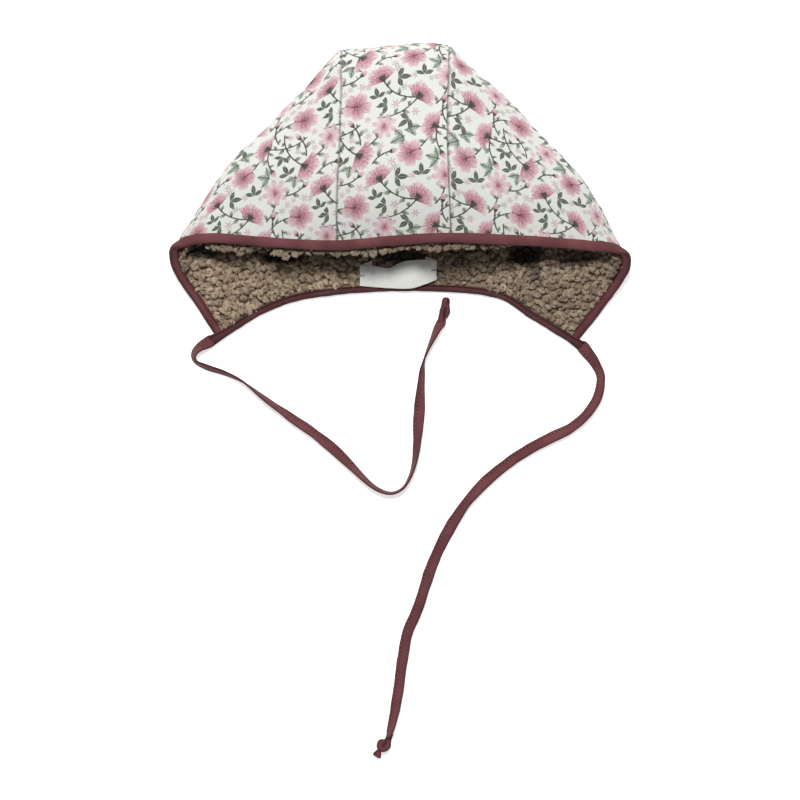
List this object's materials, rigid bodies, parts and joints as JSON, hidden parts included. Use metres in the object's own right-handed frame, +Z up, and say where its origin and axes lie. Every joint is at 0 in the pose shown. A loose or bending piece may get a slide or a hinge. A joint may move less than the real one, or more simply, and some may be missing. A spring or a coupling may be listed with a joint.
{
  "type": "baby bonnet",
  "caption": "Soft baby bonnet of printed cloth with a curly pile lining, bound face and neck edges and long knotted ties, lying on its back.",
  "frame": {"origin": "middle of the bottom of the bonnet's box without its ties, on the surface that it lies on", "axes": "+Z up from the surface, +Y towards the bonnet's crown, -Y towards the face opening and the ties, +X to the right of the bonnet as seen from above with its crown away from the viewer"},
  "size_m": [0.2844, 0.4409, 0.0563],
  "materials": {
    "printed_cloth": "matt off-white twill with a trailing floral print",
    "curly_pile": "curly beige-brown pile",
    "bias_tape": "dusty maroon cotton bias tape with a line of stitches",
    "woven_label": "off-white woven satin, blank"
  },
  "bodies": {
    "root": {"centre_panel": "printed_cloth", "side_panel_left": "printed_cloth", "side_panel_right": "printed_cloth", "lining_centre": "curly_pile", "lining_left": "curly_pile", "lining_right": "curly_pile", "face_binding": "bias_tape", "neck_binding": "bias_tape", "tie_left": "bias_tape", "tie_right": "bias_tape", "tie_knot_left": "bias_tape", "tie_knot_right": "bias_tape", "label": "woven_label"}
  },
  "joints": []
}
